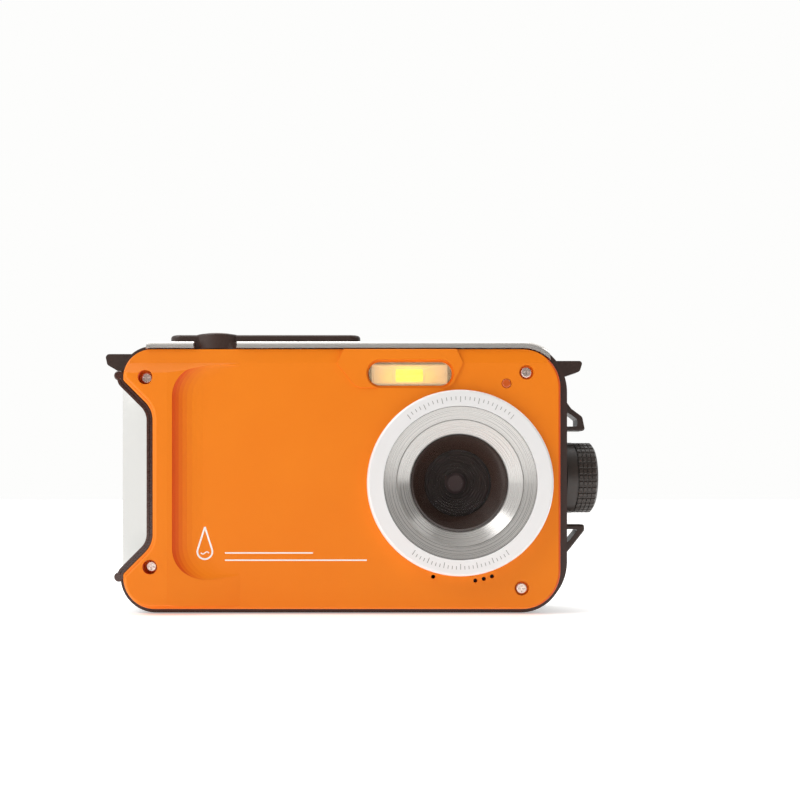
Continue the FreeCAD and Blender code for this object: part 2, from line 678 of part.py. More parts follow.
def make_battery_door():
    z0 = bay_low_z + door_gap
    z1 = bay_high_z - door_gap
    plate = box(door_x0, door_x1, door_front_y, hinge_y, z0, z1)
    edge = [e for e in plate.Edges if abs(e.BoundBox.XMin - door_x1) < 1e-4 and e.BoundBox.XLength < 1e-4
            and abs(e.BoundBox.YMin - door_front_y) < 1e-4 and e.BoundBox.YLength < 1e-4]
    plate = plate.makeFillet(1.2, edge)
    corner = box(hinge_x, 60, hinge_y - barrel_r - 1, 20, z0, z1)
    barrel = disc_z(hinge_x, hinge_y, barrel_r, z0, z1)
    door = plate.cut(corner).fuse(barrel)
    door = door.fuse(box(hinge_x - 1.0, door_x1, hinge_y - 3.0, hinge_y - 0.9, z0, z1))
    door = door.fuse(make_guard_loops())
    door = door.cut(disc_z(hinge_x, hinge_y, hinge_r + 0.05, 0, 70))
    door = door.cut(disc_x(knob_y, knob_z, knob_shaft_r + 0.06, 40, 60))
    door = door.cut(door_seal_band(49.0, door_x0 + 0.6, 0.05))
    save(door.removeSplitter(), "battery_door")
    save(door_seal_band(bay_wall_x + 0.1, door_x0 + 0.6, 0.0), "door_seal")


def door_seal_band(x0, x1, extra):
    """Band on the door's inner face that closes round the mouth of the bay."""
    y0, y1, z0, z1 = bay_mouth
    outer = box(x0, x1, y0 - 1.4 - extra, y1 + 1.2 + extra, z0 - 1.6 - extra, z1 + 1.6 + extra)
    inner = box(x0 - 1, x1 + 1, y0 - 0.5 + extra, y1 + 0.3 - extra, z0 - 0.7 + extra, z1 + 0.7 - extra)
    return outer.cut(inner)


def make_hinge_pin():
    save(disc_z(hinge_x, hinge_y, hinge_r, 8.6, 56.6), "door_hinge_pin")


def make_lock_knob():
    """Knob, collar and shaft turned about X in one profile, with ridges cut along the grip."""
    x0 = door_x1 + 0.25
    grip_x = x0 + 2.9
    r = knob_r
    outline = [(47.5, 0), (47.5, knob_shaft_r), (x0, knob_shaft_r), (x0, r + 0.1), (grip_x - 0.45, r + 0.1),
               (grip_x - 0.45, r - 0.5), (grip_x, r - 0.5), (grip_x, r)]
    for x in (grip_x + 0.85, grip_x + 1.85, grip_x + 2.85):
        outline += [(x, r), (x, r - 0.35), (x + 0.25, r - 0.35), (x + 0.25, r)]
    face_x = knob_x1 - 0.75
    outline += [(face_x - 0.6, r), (face_x, r - 0.8)]
    corners = [V(x, 0, z) for x, z in outline]
    edges = [Part.LineSegment(a, b).toShape() for a, b in zip(corners, corners[1:])]
    edges.append(Part.Arc(V(face_x, 0, r - 0.8), V(knob_x1 - 0.2, 0, r * 0.45), V(knob_x1, 0, 1.0)).toShape())
    edges.append(Part.LineSegment(V(knob_x1, 0, 1.0), V(knob_x1, 0, 0)).toShape())
    edges.append(Part.LineSegment(V(knob_x1, 0, 0), V(47.5, 0, 0)).toShape())
    knob = Part.Face(Part.Wire(edges)).revolve(V(0, 0, 0), V(1, 0, 0), 360)
    count = 36
    notches = []
    for i in range(count):
        notch = Part.makeCylinder(0.42, knob_x1, V(grip_x - 0.2, 0, r + 0.12), V(1, 0, 0))
        notch.rotate(V(0, 0, 0), V(1, 0, 0), 360.0 * (i + 0.5) / count)
        notches.append(notch)
    knob = knob.cut(Part.makeCompound(notches))
    knob.translate(V(0, knob_y, knob_z))
    save(knob, "lock_knob")
    bar = box(46.1, 47.5, knob_y - 1.9, knob_y + 1.9, knob_z - latch_reach, knob_z + latch_reach)
    ends = disc_x(knob_y, knob_z, latch_reach, 40, 60)
    save(bar.common(ends), "latch_bar")


# ---------------------------------------------------------------- power and storage
def make_battery():
    cell = box(8.0, 45.0, 1.9, 7.1, 15.0, 41.0)
    sides = [e for e in cell.Edges if abs(e.BoundBox.XLength - 37.0) < 1e-4]
    save(cell.makeFillet(1.2, sides), "battery")
    holder = box(5.6, 45.2, 1.4, 7.65, 14.0, 42.0).cut(box(6.8, 46, 1.8, 7.25, 14.85, 41.15))
    save(holder, "battery_holder")
    contacts = []
    for i in range(3):
        z = 22.0 + i * 5.0
        leaf = box(6.8, 7.1, 3.2, 5.8, z - 1.2, z + 1.2).fuse(box(7.1, 7.95, 4.2, 4.8, z - 0.8, z + 0.8))
        contacts.append(leaf)
    save(Part.makeCompound(contacts), "battery_contacts")


def make_card_and_socket():
    slot = box(30.0, 45.4, -1.6, 0.3, 39.4, 50.9).cut(box(30.4, 46, -1.35, 0.05, 39.65, 50.65))
    save(slot, "card_slot")
    save(box(30.6, 45.6, -1.2, -0.2, 39.75, 50.55), "memory_card")
    shell = box(38.0, 45.6, -3.6, 0.3, 16.0, 23.7).cut(box(38.5, 46, -3.2, -0.1, 16.4, 23.3))
    save(shell.fuse(box(38.5, 44.0, -2.1, -1.2, 17.5, 22.2)), "usb_socket")


def make_electronics():
    board = box(-42.0, 45.2, 0.3, 1.3, 8.0, 57.0)
    save(board, "main_board")
    save(box(-14.0, -2.0, -0.9, 0.3, 26.0, 38.0), "processor")
    cap = disc_z(-37.4, -4.6, 4.1, 20.0, 46.0)
    ends = [e for e in cap.Edges if e.BoundBox.ZLength < 1e-4]
    save(cap.makeFillet(0.6, ends), "flash_capacitor")
    save(disc_y(33.3, 8.4, 2.4, cover_inner_y, -7.6), "microphone")
    speaker = disc_y(ok_x, 12.0, 5.5, 7.9, 10.1)
    save(speaker, "speaker")


def make_tripod_nut():
    nut = disc_z(0, 0, 4.45, 0, 6.4).fuse(disc_z(0, 0, 5.8, 2.05, 3.2))
    save(nut.cut(disc_z(0, 0, 2.55, -1, 5.6)), "tripod_nut")


make_front_cover()
make_mid_frame()
make_seals()
make_chrome_top_trim()
make_top_panel()
make_side_grip()
make_lens_trim()
make_lens_optics()
make_flash()
make_timer_lamp()
make_front_screws()
make_shutter()
make_power()
make_top_switches()
make_keys()
make_rear_cover()
make_screen()
make_membrane()
make_battery_door()
make_hinge_pin()
make_lock_knob()
make_battery()
make_card_and_socket()
make_electronics()
make_tripod_nut()
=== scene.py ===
import json
import math

import bmesh
import bpy
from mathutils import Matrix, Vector
from mathutils.bvhtree import BVHTree


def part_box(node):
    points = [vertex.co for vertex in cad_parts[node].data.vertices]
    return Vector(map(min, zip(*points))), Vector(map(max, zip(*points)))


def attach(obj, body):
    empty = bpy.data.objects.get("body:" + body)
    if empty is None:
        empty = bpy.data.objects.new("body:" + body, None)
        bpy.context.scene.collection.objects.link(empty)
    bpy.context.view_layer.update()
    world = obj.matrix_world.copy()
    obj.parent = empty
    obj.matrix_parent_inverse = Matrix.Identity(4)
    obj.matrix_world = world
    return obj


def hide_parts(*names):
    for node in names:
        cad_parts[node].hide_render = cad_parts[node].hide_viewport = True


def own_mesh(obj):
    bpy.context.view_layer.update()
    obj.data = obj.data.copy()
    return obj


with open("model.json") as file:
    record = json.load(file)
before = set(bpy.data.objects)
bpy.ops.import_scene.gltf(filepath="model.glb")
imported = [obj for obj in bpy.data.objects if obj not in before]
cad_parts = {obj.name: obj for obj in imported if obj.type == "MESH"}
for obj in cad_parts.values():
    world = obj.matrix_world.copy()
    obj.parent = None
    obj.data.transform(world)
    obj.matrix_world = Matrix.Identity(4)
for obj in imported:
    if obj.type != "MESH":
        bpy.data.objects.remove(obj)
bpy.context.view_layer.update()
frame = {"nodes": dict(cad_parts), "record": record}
nodes = frame["nodes"]
mm = 0.001
print("frame loaded:", len(nodes), "parts")

# The lens axis, read from the frame.
ringLow, ringHigh = (Vector(c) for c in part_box("lens_ring"))
ringCentre = (ringLow + ringHigh) / 2


def toLinear(hexColour):
    # sRGB hex to the linear numbers that Blender mixes
    channels = []
    for i in (0, 2, 4):
        c = int(hexColour[i:i + 2], 16) / 255
        channels.append(c / 12.92 if c <= 0.04045 else ((c + 0.055) / 1.055) ** 2.4)
    return (*channels, 1.0)


def perMetre(sizeMm):
    # how many times a pattern of this size repeats in one metre
    return 1 / (sizeMm * mm)


def addNode(tree, kind, settings=None, links=None):
    # one node with its settings, each of which is an attribute or an input, and the links into it
    node = tree.nodes.new(kind)
    for key, value in (settings or {}).items():
        if isinstance(key, str) and hasattr(node, key):
            setattr(node, key, value)
        else:
            node.inputs[key].default_value = value
    for key, source in (links or {}).items():
        tree.links.new(source, node.inputs[key])
    return node


def startMaterial(name, settings):
    # a material with one Principled shader, and the object's own coordinates to hang patterns on
    material = bpy.data.materials.new(name)
    material.use_nodes = True
    tree = material.node_tree
    shader = tree.nodes["Principled BSDF"]
    for key, value in settings.items():
        shader.inputs[key].default_value = value
    place = tree.nodes.new("ShaderNodeTexCoord").outputs["Object"]
    return material, tree, shader, place


patterns = {
    "noiseLow": 0.3,      # noise stays mostly between these two
    "noiseHigh": 0.7,
    "cloudMm": 18,        # size of the slow colour variation in moulded pieces
    "dustMm": 6,          # size of the dull patches on glass
}


def roughenSkin(tree, shader, pattern, smoothest, roughest, depthMm, strength):
    # one pattern makes the skin smoother or rougher from place to place, and lifts it a little
    rough = addNode(tree, "ShaderNodeMapRange", {
        "From Min": patterns["noiseLow"], "From Max": patterns["noiseHigh"],
        "To Min": smoothest, "To Max": roughest,
    }, {"Value": pattern})
    bump = addNode(tree, "ShaderNodeBump", {"Strength": strength, "Distance": depthMm * mm},
                   {"Height": pattern})
    tree.links.new(rough.outputs["Result"], shader.inputs["Roughness"])
    tree.links.new(bump.outputs["Normal"], shader.inputs["Normal"])


def mouldedPlastic(name, look):
    # anything moulded, lacquered or printed: slow colour variation, spark-eroded grain, a satin skin
    material, tree, shader, place = startMaterial(name, {
        "IOR": 1.52, "Coat Weight": look.get("coat", 0.0), "Coat Roughness": look.get("coatRoughness", 0.1),
        "Metallic": look.get("metallic", 0.0), "Specular IOR Level": look.get("gleam", 0.5),
    })
    cloud = addNode(tree, "ShaderNodeTexNoise", {"Scale": perMetre(patterns["cloudMm"]), "Detail": 3.0},
                    {"Vector": place})
    tint = addNode(tree, "ShaderNodeMix", {
        "data_type": "RGBA", "A": toLinear(look["dark"]), "B": toLinear(look["light"]),
    }, {"Factor": cloud.outputs["Fac"]})
    colour = tint.outputs["Result"]
    if "turned" in look:
        # painted shade: the colour deepens to a darker red-orange where a wall turns to the right, away
        # from the light
        normal = tree.nodes.new("ShaderNodeTexCoord").outputs["Normal"]
        slope = addNode(tree, "ShaderNodeSeparateXYZ", {}, {"Vector": normal})
        share = addNode(tree, "ShaderNodeMapRange", {
            "From Min": look["slope"][0], "From Max": look["slope"][1], "To Max": look["turnedShare"],
        }, {"Value": slope.outputs["X"]})
        paintedShade = addNode(tree, "ShaderNodeMix", {"data_type": "RGBA", "B": toLinear(look["turned"])},
                       {"Factor": share.outputs["Result"], "A": colour})
        colour = paintedShade.outputs["Result"]
    tree.links.new(colour, shader.inputs["Base Color"])
    # painted glow: the part gives off its own colour as light, though it is no lamp
    if "paintedGlow" in look:
        tree.links.new(colour, shader.inputs["Emission Color"])
        shader.inputs["Emission Strength"].default_value = look["paintedGlow"]
    grain = addNode(tree, "ShaderNodeTexNoise", {"Scale": perMetre(look["grainMm"]), "Detail": 4.0},
                    {"Vector": place})
    spread = look.get("roughSpread", 0.06)
    roughenSkin(tree, shader, grain.outputs["Fac"], look["roughness"] - spread, look["roughness"] + spread,
                look["grainDepthMm"], 0.5)
    return material


def platedMetal(name, look):
    # plated or machined metal: mirror-like, with faint waviness from what is under the plate
    material, tree, shader, place = startMaterial(name, {
        "Metallic": look.get("metallic", 1.0), "Base Color": toLinear(look["colour"]),
    })
    wave = addNode(tree, "ShaderNodeTexNoise", {"Scale": perMetre(look["waveMm"]), "Detail": 2.0},
                   {"Vector": place})
    roughenSkin(tree, shader, wave.outputs["Fac"], look["roughness"] * 0.7, look["roughness"] * 1.4,
                look["waveDepthMm"], 0.3)
    return material


def turnedMetal(name, look):
    # metal turned on a lathe: fine rings about the lens axis stretch each highlight into a bright sector
    material, tree, shader, place = startMaterial(name, {
        "Metallic": look["metallic"], "Base Color": toLinear(look["colour"]),
        "Anisotropic": look["anisotropic"],
        "Anisotropic Rotation": 0.25,      # a quarter turn
    })
    around = addNode(tree, "ShaderNodeTangent", {"direction_type": "RADIAL", "axis": "Y"})
    tree.links.new(around.outputs["Tangent"], shader.inputs["Tangent"])
    centred = addNode(tree, "ShaderNodeMapping", {"Location": (-ringCentre.x, 0, -ringCentre.z)},
                      {"Vector": place})
    flat = addNode(tree, "ShaderNodeMapping", {"Scale": (1, 0, 1)}, {"Vector": centred.outputs["Vector"]})
    radius = addNode(tree, "ShaderNodeVectorMath", {"operation": "LENGTH"}, {0: flat.outputs["Vector"]})
    rings = addNode(tree, "ShaderNodeTexNoise", {
        "noise_dimensions": "1D", "Detail": 3.0, "Scale": perMetre(look["ringMm"]),
    }, {"W": radius.outputs["Value"]})
    roughenSkin(tree, shader, rings.outputs["Fac"], look["roughness"] - 0.05, look["roughness"] + 0.08,
                look["ringDepthMm"], look["strength"])
    return material


def clearSheet(name, look):
    # glass or clear acrylic: its reflection is what the eye sees first, and dust only dulls it a little
    material, tree, shader, place = startMaterial(name, {
        "Base Color": toLinear(look["colour"]), "IOR": look["ior"], "Alpha": look.get("alpha", 1.0),
        "Coat Weight": look.get("coat", 0.0), "Coat Roughness": 0.02,
        "Coat Tint": toLinear(look.get("coatTint", "ffffff")),
    })
    dust = addNode(tree, "ShaderNodeTexNoise", {"Scale": perMetre(patterns["dustMm"]), "Detail": 5.0},
                   {"Vector": place})
    rough = addNode(tree, "ShaderNodeMapRange", {
        "From Min": 0.5, "From Max": 0.8, "To Min": look["roughness"], "To Max": look["roughness"] + 0.03,
    }, {"Value": dust.outputs["Fac"]})
    tree.links.new(rough.outputs["Result"], shader.inputs["Roughness"])
    return material


def ribbedSheet(name, look):
    # clear acrylic moulded with a grid of ribs, which scatters the flash
    material, tree, shader, place = startMaterial(name, {
        "Base Color": toLinear(look["colour"]), "Roughness": look["roughness"], "IOR": 1.49,
        "Alpha": look["alpha"], "Coat Weight": 0.5,
    })
    waveScale = perMetre(look["ribMm"]) * 2 * math.pi / 20      # a wave turns 20 radians per unit
    across = addNode(tree, "ShaderNodeTexWave", {"bands_direction": "X", "Scale": waveScale},
                     {"Vector": place})
    up = addNode(tree, "ShaderNodeTexWave", {"bands_direction": "Z", "Scale": waveScale}, {"Vector": place})
    grid = addNode(tree, "ShaderNodeMath", {"operation": "ADD"},
                   {0: across.outputs["Fac"], 1: up.outputs["Fac"]})
    bump = addNode(tree, "ShaderNodeBump", {"Strength": 0.8, "Distance": look["ribDepthMm"] * mm},
                   {"Height": grid.outputs["Value"]})
    tree.links.new(bump.outputs["Normal"], shader.inputs["Normal"])
    return material


# Each finish: the maker, what the real material is and how it was made, and its numbers.
finishes = {
    # front cover: a satin skin, warm and even, with painted shade where it turns from the light
    "orange_cover": (mouldedPlastic, "orange moulded ABS", {
        "dark": "ee7c0c", "light": "f38513", "roughness": 0.46, "grainMm": 0.35, "grainDepthMm": 0.012,
        "gleam": 0.25, "turned": "d9480a", "turnedShare": 0.85, "slope": (0.125, 0.45),
    }),
    # housing: brown-black, with a coarser grain that breaks the highlights up
    "dark_housing": (mouldedPlastic, "brown-black moulded ABS", {
        "dark": "33211a", "light": "3d2820", "roughness": 0.42, "grainMm": 0.4, "grainDepthMm": 0.05,
    }),
    # knob: greyer than the housing, so that its knurls stand out
    "knob_plastic": (mouldedPlastic, "charcoal moulded nylon", {
        "dark": "302925", "light": "3c332e", "roughness": 0.4, "grainMm": 0.3, "grainDepthMm": 0.03,
    }),
    # trim beside the grip: lacquer draws one thin line of light along it
    "dark_trim": (mouldedPlastic, "dark lacquered ABS", {
        "dark": "3b211a", "light": "4a2a20", "roughness": 0.28, "grainMm": 0.3, "grainDepthMm": 0.01,
        "coat": 0.4,
    }),
    # grip: pale and even, with a soft shine
    "silver_grip": (mouldedPlastic, "silver-grey lacquered ABS", {
        "dark": "c6c6c3", "light": "cfcfcc", "roughness": 0.4, "grainMm": 0.25, "grainDepthMm": 0.015,
        "coat": 0.3,
    }),
    # bezel: near black, with a hard bright reflection round the lens
    "gloss_bezel": (mouldedPlastic, "polished moulded polycarbonate", {
        "dark": "2e211c", "light": "3a2a24", "roughness": 0.2, "grainMm": 2.0, "grainDepthMm": 0.004,
        "roughSpread": 0.02, "coat": 0.8, "coatRoughness": 0.05,
    }),
    # baffle: swallows light, so that its steps only just show
    "baffle_black": (mouldedPlastic, "matte moulded polycarbonate", {
        "dark": "2c211e", "light": "352824", "roughness": 0.6, "grainMm": 0.2, "grainDepthMm": 0.02,
    }),
    # keys: light grey with a soft shine, clear against the dark back
    "key_plastic": (mouldedPlastic, "grey lacquered ABS", {
        "dark": "b9b6b1", "light": "c4c2be", "roughness": 0.35, "grainMm": 0.25, "grainDepthMm": 0.01,
        "coat": 0.3,
    }),
    # screen: black and still, because it is off
    "screen_dark": (mouldedPlastic, "laminated liquid crystal panel", {
        "dark": "07080a", "light": "0a0b0e", "roughness": 0.2, "grainMm": 1.0, "grainDepthMm": 0.001,
    }),
    # chips: dull black
    "chip_black": (mouldedPlastic, "moulded epoxy", {
        "dark": "1b1b1d", "light": "222225", "roughness": 0.5, "grainMm": 0.2, "grainDepthMm": 0.02,
    }),
    # boards: deep green under a glassy film
    "board_green": (mouldedPlastic, "lacquered fibreglass", {
        "dark": "0f4a2c", "light": "14603a", "roughness": 0.3, "grainMm": 1.2, "grainDepthMm": 0.02,
        "coat": 0.5,
    }),
    # memory card: plain black, a little shiny
    "card_black": (mouldedPlastic, "black moulded ABS", {
        "dark": "1a1a1c", "light": "202022", "roughness": 0.4, "grainMm": 0.2, "grainDepthMm": 0.01,
    }),
    # battery: smooth dark film with slow ripples
    "battery_wrap": (mouldedPlastic, "shrunk vinyl wrap", {
        "dark": "26282c", "light": "2f3237", "roughness": 0.3, "grainMm": 3.0, "grainDepthMm": 0.02,
    }),
    # battery holder: matte black
    "holder_black": (mouldedPlastic, "black moulded nylon", {
        "dark": "1d1c1c", "light": "252424", "roughness": 0.5, "grainMm": 0.3, "grainDepthMm": 0.03,
    }),
    # capacitor: blue-black film, shiny
    "capacitor_sleeve": (mouldedPlastic, "shrunk vinyl sleeve", {
        "dark": "17181f", "light": "1e2029", "roughness": 0.25, "grainMm": 2.0, "grainDepthMm": 0.01,
    }),
    # speaker and microphone: soft black, no highlight
    "speaker_black": (mouldedPlastic, "pressed black felt", {
        "dark": "1e1e1f", "light": "262627", "roughness": 0.5, "grainMm": 0.3, "grainDepthMm": 0.02,
    }),
    # seals: dull, almost no highlight
    "seal_rubber": (mouldedPlastic, "black moulded silicone", {
        "dark": "1a1a1a", "light": "222222", "roughness": 0.62, "grainMm": 0.2, "grainDepthMm": 0.02,
    }),
    # door seal: orange, so that a user sees whether it is clean
    "door_seal_rubber": (mouldedPlastic, "orange moulded silicone", {
        "dark": "c8501a", "light": "d65a20", "roughness": 0.55, "grainMm": 0.2, "grainDepthMm": 0.02,
    }),
    # timer lamp: a wet-looking red-orange dot
    "lamp_orange": (mouldedPlastic, "tinted moulded acrylic", {
        "dark": "c8561c", "light": "d8642a", "roughness": 0.15, "grainMm": 1.0, "grainDepthMm": 0.003,
        "coat": 0.3, "coatRoughness": 0.04,
    }),
    # flash: a cream reflector and a yellow tube, with a painted glow so that both read through the window,
    # though the flash is not firing
    "flash_mirror": (mouldedPlastic, "cream metallised film", {
        "dark": "e6c394", "light": "f3dcb4", "roughness": 0.3, "grainMm": 1.5, "grainDepthMm": 0.01,
        "metallic": 0.1, "paintedGlow": 0.4,
    }),
    "flash_glass": (mouldedPlastic, "drawn xenon tube glass", {
        "dark": "fbea10", "light": "fff23a", "roughness": 0.1, "grainMm": 3.0, "grainDepthMm": 0.002,
        "coat": 0.5, "paintedGlow": 1.1,
    }),
    # flash window: the ribs are drawn coarser than real ones, which would be too fine to show
    "flash_clear": (ribbedSheet, "ribbed moulded acrylic", {
        "colour": "f1dcb2", "roughness": 0.18, "alpha": 0.3, "ribMm": 3.77, "ribDepthMm": 0.12,
    }),
    # top trim: bright, with a faint waviness from the moulding under the plate
    "chrome_trim": (platedMetal, "chrome-plated ABS", {
        "colour": "fbf8f4", "metallic": 0.72, "roughness": 0.12, "waveMm": 9, "waveDepthMm": 0.02,
    }),
    # shutter button: smoky brown metal
    "shutter_metal": (platedMetal, "smoke-plated ABS", {
        "colour": "6d5a50", "roughness": 0.25, "waveMm": 1, "waveDepthMm": 0.01,
    }),
    # screws and spring: bright and a little warm
    "screw_steel": (platedMetal, "nickel-plated steel", {
        "colour": "efdcd2", "roughness": 0.3, "waveMm": 0.6, "waveDepthMm": 0.03,
    }),
    # sockets: grey folded sheet
    "socket_steel": (platedMetal, "stamped tinned steel", {
        "colour": "c3c3c1", "roughness": 0.3, "waveMm": 0.8, "waveDepthMm": 0.02,
    }),
    # battery contacts: a yellow glint
    "contact_brass": (platedMetal, "stamped gilt brass", {
        "colour": "d9b35a", "roughness": 0.22, "waveMm": 0.8, "waveDepthMm": 0.01,
    }),
    # tripod nut, hinge pin and latch: grey machined metal
    "nut_steel": (platedMetal, "machined steel", {
        "colour": "c9c7c2", "roughness": 0.3, "waveMm": 0.6, "waveDepthMm": 0.02,
    }),
    # lens window: nearly unseen, a little dark
    "clear_window": (clearSheet, "polished flat glass", {
        "colour": "0e0c0b", "roughness": 0.0, "ior": 1.4, "alpha": 0.08,
    }),
    # screen window: black gloss
    "screen_glass": (clearSheet, "hard-coated acrylic", {
        "colour": "0b0c0e", "roughness": 0.03, "ior": 1.5, "coat": 0.3,
    }),
    # lens: a grey dot with a violet cast from its coating
    "lens_glass": (clearSheet, "coated optical glass", {
        "colour": "6a5c58", "roughness": 0.03, "ior": 1.45, "coat": 0.25, "coatTint": "b9a8d8",
    }),
    # inks lie flat on the skin and dull it
    "white_print": (mouldedPlastic, "white pad-printed ink", {
        "dark": "f6f1ea", "light": "ffffff", "roughness": 0.5, "grainMm": 0.3, "grainDepthMm": 0.003,
    }),
    "grey_print": (mouldedPlastic, "grey filled enamel", {
        "dark": "9b9896", "light": "a5a2a0", "roughness": 0.5, "grainMm": 0.3, "grainDepthMm": 0.003,
    }),
    "dark_print": (mouldedPlastic, "dark pad-printed ink", {
        "dark": "2c2826", "light": "36312f", "roughness": 0.5, "grainMm": 0.3, "grainDepthMm": 0.003,
    }),
    # lens ring: silver paint on turned metal, nearly white, with the rings only just there
    "silver_ring": (turnedMetal, "silver-painted turned aluminium", {
        "colour": "f1f0f0", "metallic": 0.15, "roughness": 0.34, "ringMm": 0.6, "ringDepthMm": 0.004,
        "strength": 0.3, "anisotropic": 0.0,
    }),
    # cone: fine rings pull the light into bright and dark sectors
    "brushed_cone": (turnedMetal, "bare turned aluminium", {
        "colour": "c9c7c4", "metallic": 0.6, "roughness": 0.27, "ringMm": 0.25, "ringDepthMm": 0.012,
        "strength": 0.6, "anisotropic": 0.8,
    }),
}

made = {slotName: maker(realName, look) for slotName, (maker, realName, look) in finishes.items()}
print("finishes made:", len(made))

slotOf = {row["node"]: row["material_slot"] for row in frame["record"]["subparts"]}
slotOf["microphone"] = "speaker_black"     # a dark felt covers it behind the sound holes
for nodeName, obj in nodes.items():
    finish = made[slotOf[nodeName]]
    if not obj.material_slots:
        obj.data.materials.append(finish)
    for materialSlot in obj.material_slots:
        materialSlot.material = finish
print("finishes on parts")


def addPiece(name, bm, slotName, body):
    # turns a finished bmesh, already in its place, into a piece that rides on the body
    bmesh.ops.recalc_face_normals(bm, faces=bm.faces)
    mesh = bpy.data.meshes.new(name)
    bm.to_mesh(mesh)
    bm.free()
    obj = bpy.data.objects.new(name, mesh)
    bpy.context.scene.collection.objects.link(obj)
    obj.data.materials.append(made[slotName])
    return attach(obj, body)


def surfaceBelow(node):
    # a function that gives where the node's outer face lies along Y, seen from the front or the back
    mesh = nodes[node].data
    tree = BVHTree.FromPolygons([v.co[:] for v in mesh.vertices], [p.vertices[:] for p in mesh.polygons])

    def height(x, z, side):
        hit = tree.ray_cast(Vector((x, side * 0.1, z)), Vector((0, -side, 0)))
        return hit[0].y
    return height


def layMark(bm, loop, height, side, thick):
    # a thin patch with the loop's outline (x, z in metres), laid on the surface that height gives
    outer = [bm.verts.new((x, height(x, z, side) + side * thick, z)) for x, z in loop]
    inner = [bm.verts.new((x, height(x, z, side) - side * thick, z)) for x, z in loop]
    bm.faces.new(outer)
    bm.faces.new(list(reversed(inner)))
    for i in range(len(loop)):
        j = (i + 1) % len(loop)
        bm.faces.new((outer[i], inner[i], inner[j], outer[j]))


def strokeLoops(points, width, closed=False):
    # quads that follow a line of (x, z) points at one width
    loops = []
    pairs = list(zip(points, points[1:])) + ([(points[-1], points[0])] if closed else [])
    for (x0, z0), (x1, z1) in pairs:
        length = math.hypot(x1 - x0, z1 - z0)
        sx, sz = -(z1 - z0) / length * width / 2, (x1 - x0) / length * width / 2
        loops.append([(x0 + sx, z0 + sz), (x1 + sx, z1 + sz), (x1 - sx, z1 - sz), (x0 - sx, z0 - sz)])
    return loops


def arcPoints(x, z, r, fromDegrees, toDegrees, steps):
    turn = [math.radians(fromDegrees + (toDegrees - fromDegrees) * i / steps) for i in range(steps + 1)]
    return [(x + r * math.cos(a), z + r * math.sin(a)) for a in turn]


def layPrint(name, loops, node, slotName, body, side=-1, thick=0.00003):
    bm = bmesh.new()
    height = surfaceBelow(node)
    for loop in loops:
        layMark(bm, loop, height, side, thick)
    return addPiece(name, bm, slotName, body)


frontPrint = {
    "dropX": -32.2,       # a plain drop, for a camera that can get wet
    "dropZ": 14.6,
    "dropR": 1.75,
    "tipZ": 20.4,
    "dropWide": 0.4,
    "ripple": [-0.95, -0.6, -0.3, 0, 0.3, 0.6, 0.95],     # along X, from the drop's middle
    "rippleHigh": 0.28,
    "rippleTurn": 3.4,    # radians per millimetre
    "rippleDown": 0.3,
    "rippleWide": 0.25,
    "lineX0": -27.5,
    "lineX1": 5.8,
    "lines": {12.6: 1.0, 14.3: 0.62},      # height, and share of the full length
    "lineStep": 1.2,
    "lineWide": 0.32,
}


def makeFrontPrint(p):
    drop = arcPoints(p["dropX"], p["dropZ"], p["dropR"], -200, 20, 22) + [(p["dropX"], p["tipZ"])]
    loops = strokeLoops([(x * mm, z * mm) for x, z in drop], p["dropWide"] * mm, closed=True)
    ripple = []
    for x in p["ripple"]:
        z = p["dropZ"] - p["rippleDown"] + p["rippleHigh"] * math.sin(x * p["rippleTurn"])
        ripple.append(((p["dropX"] + x) * mm, z * mm))
    loops += strokeLoops(ripple, p["rippleWide"] * mm)
    for z, share in p["lines"].items():
        length = (p["lineX1"] - p["lineX0"]) * share
        steps = int(length / p["lineStep"])
        line = [((p["lineX0"] + length * i / steps) * mm, z * mm) for i in range(steps + 1)]
        loops += strokeLoops(line, p["lineWide"] * mm)
    layPrint("front_print", loops, "front_cover", "white_print", "camera")


ringTicks = {
    "inner": 19.3,
    "outer": 20.1,
    "longer": 0.5,        # every fourth tick reaches this much further in
    "wide": 0.16,
    "groups": {90: 38, 270: 34},      # middle of the group and its half span, in degrees
    "count": 25,
    "thick": 0.02,
}


def makeRingTicks(p):
    # fine index marks at the top and bottom of the ring
    loops = []
    for middle, span in p["groups"].items():
        for i in range(p["count"]):
            turn = math.radians(middle - span + 2 * span * i / (p["count"] - 1))
            inner = p["inner"] - (p["longer"] if i % 4 == 0 else 0)
            across, up = math.cos(turn) * mm, math.sin(turn) * mm
            ends = [(ringCentre.x + r * across, ringCentre.z + r * up) for r in (inner, p["outer"])]
            loops += strokeLoops(ends, p["wide"] * mm)
    layPrint("ring_ticks", loops, "lens_ring", "grey_print", "camera", thick=p["thick"] * mm)


# The usual plain symbols, in millimetres from each key's middle. From the back, -X is on the right.
keyMarks = {
    "filled": {
        "up": [(-0.9, -0.4), (0.9, -0.4), (0, 0.7)],
        "down": [(-0.9, 0.4), (0.9, 0.4), (0, -0.7)],
        "left": [(-0.4, -0.9), (-0.4, 0.9), (0.7, 0)],
        "right": [(0.4, -0.9), (0.4, 0.9), (-0.7, 0)],
        "playback": [(0.8, -1.1), (0.8, 1.1), (-1.2, 0)],
    },
    "lines": {
        "menu": [[(-1.1, v), (1.1, v)] for v in (-0.8, 0, 0.8)],
        "zoom_out": [[(-1.0, 0), (1.0, 0)]],
        "zoom_in": [[(-1.0, 0), (-0.15, 0)], [(0.15, 0), (1.0, 0)], [(0, -1.0), (0, 1.0)]],
    },
    "lineWide": 0.3,
    "okRing": 1.1,
    "okWide": 0.28,
}


